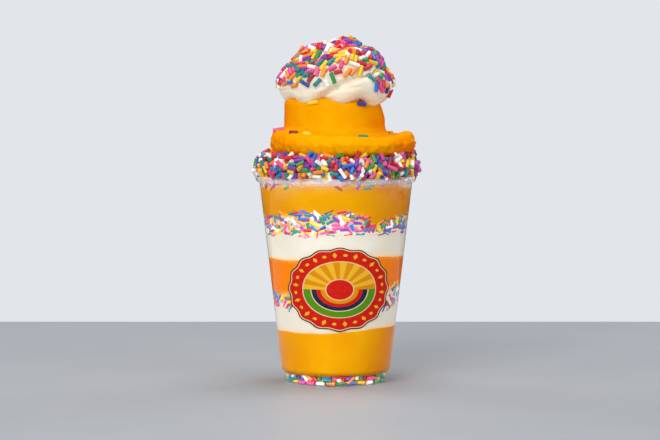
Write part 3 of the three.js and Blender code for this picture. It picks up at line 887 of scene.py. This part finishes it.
def tree_of(piece, was_spun=False):
    """A piece's surface in millimetres, for casting rays and finding the nearest spot. The
    merge in a spun piece shuffles its faces and their first corners, so these are sorted to
    give the same heap on every run."""
    points = [v.co / MM for v in piece.data.vertices]
    faces = [list(face.vertices) for face in piece.data.polygons]
    if was_spun:
        starts = [face.index(min(face)) for face in faces]
        faces = sorted(face[start:] + face[:start] for face, start in zip(faces, starts))
    return BVHTree.FromPolygons(points, faces)


def ground_of(*trees):
    """The surface of some pieces as ground."""
    def ground(points):
        heights, ups = np.full(len(points), 1e9), np.zeros((len(points), 3))
        for tree in trees:
            for i, point in enumerate(points):
                spot, up, _, _ = tree.find_nearest(Vector(point))
                height = (Vector(point) - spot).dot(up)
                if height < heights[i]:
                    heights[i], ups[i] = height, up
        return heights, ups
    return ground


ON_RIM = 560  # how many sprinkles the heap has
rim = Heap(7)
rim_angles = rim.random.uniform(-pi, pi, ON_RIM)
start = heap_face(rim_angles, rim.random.uniform(0, 1.0, ON_RIM))
rim_turns = rim.random.uniform(0, pi, ON_RIM)
start[:, :2] *= (1 + rim.random.uniform(-2.0, 1.6, ON_RIM) / 48)[:, None]
headings = around(rim_angles + pi / 2, np.cos(rim_turns), np.sin(rim_turns))
rim.drop(start, headings + 0.4 * rim.random.normal(size=(ON_RIM, 3)))


def rim_hold(points):
    """The heap stays above the rolled edge."""
    angle, radius, height = polar(points)
    floor = np.where(radius > 45.3, 127.9, 124.5)
    return around(angle, np.minimum(radius, 51.4), np.clip(height, floor, 140.2))


scoop_tree = tree_of(scoop, was_spun=True)
rim_ground = ground_of(tree_of(core, was_spun=True), scoop_tree)
rim.settle(rim_ground, rounds=60, sink=0.15, pull=0.12, hold=rim_hold)
serve(rim.mesh(), "sprinkles_on_the_rim", candy_glaze, "sprinkles")

SLIPPED = ("-66 121.1 60 dark_red, -62 123 -35 pink, -57 120 40 dark_red, -54 122.2 70 violet,"
           "-48 123.6 15 orange, -40 121 25 green, -36 123.4 -50 pink, 2 121.2 -30 dark_red, 7 123 25 red,"
           "17 122.4 65 violet, 24 120.8 5 teal, 27 122.8 -20 green, 36 123 10 pink, 55 123.6 35 orange,"
           "104 121.6 20 blue, 131 123.6 -30 yellow, 150 122.6 70 red, 178 121.1 10 green,"
           "-150 123.1 -15 pink, -121 121.6 45 blue")
slipped = Heap(9)
lay_by_hand(slipped, SLIPPED, 0.44)
slipped.halves = np.minimum(slipped.halves, 2.9)
serve(slipped.mesh(), "sprinkles_under_the_rim", candy_glaze, "sprinkles")

# ---- the swirl and its sprinkles
# Soft serve is piped on the tower as one thick rope, which goes once round, climbs over its
# own start in front and closes in a dome. Its lower edge sags in scallops, and sprinkles
# are shaken over it from above, so the lower roll stays nearly bare.

SWIRL_START = -30  # degrees from the front
GRID = 0.7 * MM  # the rope and its inside are fused on a grid this fine


def creases(angle, height, along, up, slant, shift):
    """Smooth noise drawn out along the rope."""
    places = (Vector((a * along, z / up - a * slant, shift)) for a, z in zip(angle, height))
    return np.array([noise.noise(place) for place in places])


def sag(points):
    """The rope's own weight, its folds and its tip."""
    angle, radius, height = polar(points)
    low = unit((181 - height) / 9) * unit((radius - 22) / 5)
    behind = unit(-np.cos(angle))
    scallop = 1.7 * np.cos(8 * (angle + radians(16.7))) * (1 - 0.5 * behind)
    scallop += 1.2 * behind * np.sin(5 * angle)
    drip = 2.6 * hump(apart(angle, 66) / 0.26)
    folds = 0.5 * creases(angle, height, 1.6, 2.6, 1.1, 4.0) + 0.22 * creases(angle, height, 5, 1.3, 2, 9.0)
    out = radius + folds * unit(radius / 10) + 0.5 * lumps(points, 9, 3)
    # The fold in front, where the rope climbs over its own start.
    turn = np.degrees(angle)
    line = np.interp(turn, [-22, -17, -4, 9, 23, 45, 80], [173, 175.6, 180, 184, 187.6, 190, 191])
    fold = np.interp(turn, [-26, -16, 50, 95], [0, 1, 1, 0]) * unit((radius - 18) / 6)
    out -= fold * 2.1 * hump((height - line + 1.0) / 1.7)
    out += fold * 0.9 * hump((height - line - 2.6) / 2.4)
    # The upper coil leans on the lower one at the left.
    out += 2.6 * np.exp(-(((height - 195.8) / 2.4) ** 2) - (apart(angle, -85) / 0.6) ** 2) * (radius > 15)
    moved = around(angle, out + 0.8 * low, height + low * (scallop - drip))
    moved[:, 0] += 3 * unit((height - 182) / 26) ** 3
    # The tip, where the rope was pulled off.
    tip = np.exp(-((moved[:, 0] - 6) ** 2 + moved[:, 1] ** 2) / 9) * (height > 196)
    moved += tip[:, None] * (0.6, 0, 2.2)
    return moved


def swirl():
    rope = fresh(bpy.ops.curve.primitive_bezier_curve_add, radius=MM)
    rope.data.splines.clear()
    turns = np.linspace(0, 2.6, 170)
    knots = [0, 0.05, 0.14, 0.99, 1.035, 1.07, 1.11, 1.16, 1.25, 1.7, 2.2, 2.6]
    heights, distances, thicknesses = (np.interp(turns, knots, values) for values in (
        [181.4, 181.4, 181.8, 182.6, 184.6, 188, 190.4, 191.6, 191.8, 193, 198, 201],
        [20.6, 21.8, 23.4, 22.8, 22.8, 22.2, 20.4, 18.4, 17.4, 15.2, 7.4, 0.5],
        [8.6, 9.8, 10.6, 12, 12, 12, 11.8, 11.4, 11, 10.8, 10, 8.8]))
    spline = rope.data.splines.new("NURBS")
    spline.points.add(len(turns) - 1)
    places = around(radians(SWIRL_START) + 2 * pi * turns, distances, heights)
    for point, place, thickness in zip(spline.points, places, thicknesses):
        point.co = (*(place * MM), 1)
        point.radius = thickness
    spline.order_u = 4
    spline.use_endpoint_u = True
    rope.data.bevel_depth = MM
    rope.data.bevel_resolution = 8
    rope.data.use_fill_caps = True
    bpy.ops.object.convert(target="MESH")
    rope = bpy.context.object
    middle = fresh(bpy.ops.mesh.primitive_uv_sphere_add, segments=48, ring_count=24, radius=20 * MM)
    reshape(middle, lambda points: points * (1.0, 1.0, 0.7) + (0, 0, 187))
    joined(rope, middle)
    bpy.ops.object.transform_apply(location=True, rotation=True, scale=True)
    finish_with(rope, "REMESH", mode="VOXEL", voxel_size=GRID)
    finish_with(rope, "SMOOTH", factor=0.5, iterations=2)

    reshape(rope, sag)
    smooth(rope, 180)
    return rope


cream = soft_serve("soft_serve", colour(255, 245, 226), colour(252, 234, 208))
cap = serve(swirl(), "soft_serve_swirl", cream, "soft_serve", "soft_serve_cap")


cap_tree = tree_of(cap)


def on_cap(heap, count, shown, spacing):
    """Drops rods on the swirl where shown says, no closer than a spacing, by casting rays
    in from all round it."""
    spots, headings, tries = [], [], 0
    middle = Vector((0, 0, 184))
    while len(spots) < count and tries < 60 * count:
        tries += 1
        way = Vector(heap.random.normal(size=3)).normalized()
        spot, up, _, _ = cap_tree.ray_cast(middle + way * 60, -way)
        if spot is None or heap.random.random() > shown(spot, up):
            continue
        if any((spot - other).length < spacing for other in spots):
            continue
        spots.append(spot + up * heap.random.uniform(0.4, 1.2))
        headings.append(Vector(heap.random.normal(size=3)).cross(up).normalized())
    return np.array(spots), np.array(headings)


def shaken(spot, up):
    """How thickly the sprinkles lie: on top all over, and thinner down the sides."""
    angle = degrees(atan2(spot.x, -spot.y))
    turns = [-180, -120, -60, -22, -6, 4, 14, 24, 38, 60, 95, 140, 180]
    edges = [182, 183, 182.5, 182, 184, 186.5, 189, 189.5, 183.5, 177.5, 180, 184, 182]
    line = np.interp(angle, turns, edges)
    thick = np.interp(spot.z - line, [-0.5, 0.5, 5, 10], [0, 0.5, 0.75, 1])
    return thick * min(1.0, max(0.0, 0.5 + up.z))


topping = Heap(12)
topping.drop(*on_cap(topping, 340, shaken, 3.7))
topping.drop(*on_cap(topping, 56, lambda spot, up: shaken(spot, up) ** 3, 2.5))
topping.settle(ground_of(cap_tree), rounds=50, sink=0.5, pull=0.15)
serve(topping.mesh(), "sprinkles_on_the_swirl", candy_glaze, "sprinkles")

# Strays: degrees from the front, distance, height or 0 on the brim, tilt in degrees, tint. Some
# cling to the tower, three to the side of the swirl, and the rest came to lie on the brim.
FROM_TOWER = 70  # rays are cast in at the tower from here, and at the swirl from nearer
STRAYS = ("-27 70 171.4 8 yellow, 33 70 170.4 -8 navy, 37 70 172.8 12 red, 141 70 163 -25 pink,"
          "-118 70 162 40 orange, -158 70 168 60 white, 78 60 176.6 84 red, 64 60 179.2 55 navy,"
          "56 60 182.4 72 red, -73 36.2 0 76 pink, -43 37.5 0 10 dark_red, -27 38 0 -12 yellow,"
          "25 38.5 0 5 green, 120 38 0 30 yellow, 172 37 0 15 teal")
strays = Heap(14)
for row in STRAYS.split(","):
    turn, distance, height, tilt = (float(number) for number in row.split()[:4])
    outward = Vector(around(radians(turn), 1.0, 0.0))
    if height:
        tree = scoop_tree if distance == FROM_TOWER else cap_tree
        spot, up, _, _ = tree.ray_cast(outward * distance + Vector((0, 0, height)), -outward)
        level, over = Vector((0, 0, 1)).cross(up).normalized(), 0.5
    else:
        steps = ((0, 0, 170), (1.8, 0, 170), (-1.8, 0, 170), (0, 1.8, 170), (0, -1.8, 170))
        hits = [scoop_tree.ray_cast(outward * distance + Vector(step), Vector((0, 0, -1))) for step in steps]
        spot, up = hits[0][0], sum((hit[1] for hit in hits), Vector()).normalized()
        level, over = outward.cross(up).normalized(), 0.2
    heading = level * cos(radians(tilt)) + up.cross(level) * sin(radians(tilt))
    strays.drop(np.array([spot + up * over]), np.array([heading]), tones=[row.split()[4]])
serve(strays.mesh(), "sprinkles_stuck_to_the_scoop", candy_glaze, "sprinkles")

# ---- the print on the cup
# A scalloped badge printed on the front of the cup in flat inks: a dark outline, a red
# border with a row of gold dots, and a golden field of rays round a red disc, over bands of
# green, blue and red. The inks are thin films on the plastic.

BADGE = {"height": 59.6, "turn": 3.4, "radius": 25.2, "wide": 1.36}
RAY = 11.25  # degrees that each ray takes up
MARKS, MARKS_AT = 28, 0.835  # marks on the border, and where, as a share of the radius


def ink(name, tone):
    """Screen ink: flat and satin, slightly uneven where it was pressed."""
    made = Finish("ink_" + name, ior=1.5, specular_ior_level=0.06)
    thin = made.patches(1.2, 0.35, 0.8, detail=2)
    made.set({"base_color": made.blend(thin * 0.03, tone, (1, 0.7, 0.4, 1)), "roughness": 0.36 + 0.12 * thin})
    return made.material


INKS = {"outline": colour(46, 22, 26), "cream": colour(244, 206, 160), "red": colour(214, 24, 14),
        "gold": colour(228, 146, 8), "green": colour(84, 146, 22),
        "blue": colour(18, 42, 74), "straw": colour(246, 188, 44)}


def badge():
    radius = BADGE["radius"]
    rings = [1.0, 0.972, 0.952, 0.88, 0.80, 0.73, 0.69, 0.67, 0.60, 0.53, 0.51, 0.42, 0.34, 0.26, 0.24, 0.12]
    bands = "outline cream red red red red cream gold gold gold gold gold gold cream red red".split()
    under_rays = "green green cream blue red gold".split()
    plate = fresh(bpy.ops.mesh.primitive_circle_add, vertices=192, radius=radius, fill_type="NGON")
    for key, tone in INKS.items():
        plate.data.materials.append(ink(key, tone))
    order = list(INKS)
    edit()
    for outer, inner in zip(rings, rings[1:]):
        bpy.ops.mesh.inset(thickness=(outer - inner) * radius)
    bpy.ops.mesh.poke()
    leave()
    for face in plate.data.polygons:
        x, y = face.center.x / radius, face.center.y / radius
        share, turn = hypot(x, y), degrees(atan2(y, x))
        band_of = max(i for i, edge in enumerate(rings) if edge >= share - 1e-3)
        tone = bands[band_of]
        if tone == "gold" and turn < 0:
            tone = under_rays[band_of - bands.index("gold")]
        elif tone == "gold" and (turn // RAY) % 2 == 1:
            tone = "straw"
        face.material_index = order.index(tone)
    # A row of lozenges and dots on the border, a touch thicker than the ink under them.
    for i in range(MARKS):
        turn = 2 * pi * (i + 0.5) / MARKS
        at = (MARKS_AT * radius * cos(turn), MARKS_AT * radius * sin(turn), 0.03)
        sides, size = (4, 1.75) if i % 2 else (14, 1.0)
        mark = fresh(bpy.ops.mesh.primitive_circle_add, vertices=sides, radius=size, fill_type="NGON",
                     location=at, rotation=(0, 0, turn))
        mark.scale = (1, 0.6, 1) if i % 2 else (0.8, 1, 1)
        mark.data.materials.append(bpy.data.materials["ink_straw"])
        joined(plate, mark)

    def wrap(points):
        share = np.hypot(points[:, 0], points[:, 1]) / radius
        turn = np.arctan2(points[:, 1], points[:, 0])
        lobes = 1 + 0.022 * np.cos(16 * turn) * unit((share - 0.85) / 0.1)
        x, y = points[:, 0] * lobes * BADGE["wide"], points[:, 1] * lobes
        height = BADGE["height"] + y
        outside = wall(height) + SHEET + 0.05 + points[:, 2]
        return around(radians(BADGE["turn"]) + x / outside, outside, height)

    plate.scale = (MM, MM, MM)
    choose(plate)
    bpy.ops.object.transform_apply(location=False, rotation=False, scale=True)
    reshape(plate, wrap)
    return plate


seal = badge()
seal.name = seal.data.name = "printed_badge"
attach(seal, "root")

# ---- the table, lights and camera
# A plain pale table top under soft studio light, seen from two metres away and a little
# above the rim.

table = fresh(bpy.ops.mesh.primitive_plane_add, size=3.2, location=(0, -1.24, 0))
bpy.ops.object.transform_apply(location=True, rotation=True, scale=True)
table.name = "table_top"
table_finish = Finish("table_top", roughness=0.5, ior=1.4)
greys = table_finish.blend(table_finish.grain(60), colour(171, 175, 181), colour(178, 181, 186))
table_finish.set({"base_color": greys})
table.data.materials.append(table_finish.material)


def lamp(place, aim, size, power, tone=(1, 1, 1), mirrored=True):
    data = bpy.data.lights.new("softbox", "AREA")
    data.shape, data.size, data.energy, data.color = "SQUARE", size, power, tone
    box = placed("softbox", data)
    box.location = place
    box.rotation_euler = (Vector(aim) - Vector(place)).to_track_quat("-Z", "Y").to_euler()
    box.visible_glossy = mirrored


lamp((-0.5, -1.4, 1.15), (0, 0, 0.1), 0.8, 17.5, (1.0, 0.985, 0.96))
lamp((1.2, -1.1, 0.5), (0, 0, 0.12), 0.8, 6.5, (0.97, 0.985, 1.0), mirrored=False)
lamp((-1.3, -0.8, 0.4), (0, 0, 0.12), 0.6, 4.5, mirrored=False)
lamp((0.1, 0.1, 1.5), (0, 0, 0.1), 0.9, 11)
lamp((-0.9, 0.8, 0.5), (0, 0, 0.12), 0.5, 4, mirrored=False)
lamp((0.9, 0.8, 0.5), (0, 0, 0.12), 0.5, 4, mirrored=False)

# The backdrop is bright where it is seen, also through the plastic, but lights little and
# is dim in reflections.
class Sky(Finish):
    """The world's nodes."""

    def __init__(self, world):
        world.use_nodes = True
        self.tree = world.node_tree
        self.shader = self.tree.nodes["Background"]


world = bpy.data.worlds.new("studio")
sky = Sky(world)
seen_by = {"Is Camera Ray": 1, "Is Transmission Ray": 1, "Is Diffuse Ray": 0.27, "Is Glossy Ray": 0.08}
strength = sum(sky.node("ShaderNodeLightPath", out=ray) * share for ray, share in seen_by.items())
sky.set({"color": colour(226, 229, 234), "strength": strength})
bpy.context.scene.world = world
bpy.context.scene.view_settings.view_transform = "Standard"

camera_data = bpy.data.cameras.new("camera")
camera_data.lens, camera_data.sensor_width = 188, 36
camera = placed("camera", camera_data)
camera.location = (-0.0036, -2.1, 0.249)
camera.rotation_euler = (radians(90 - 4.09), 0, 0)
bpy.context.scene.camera = camera
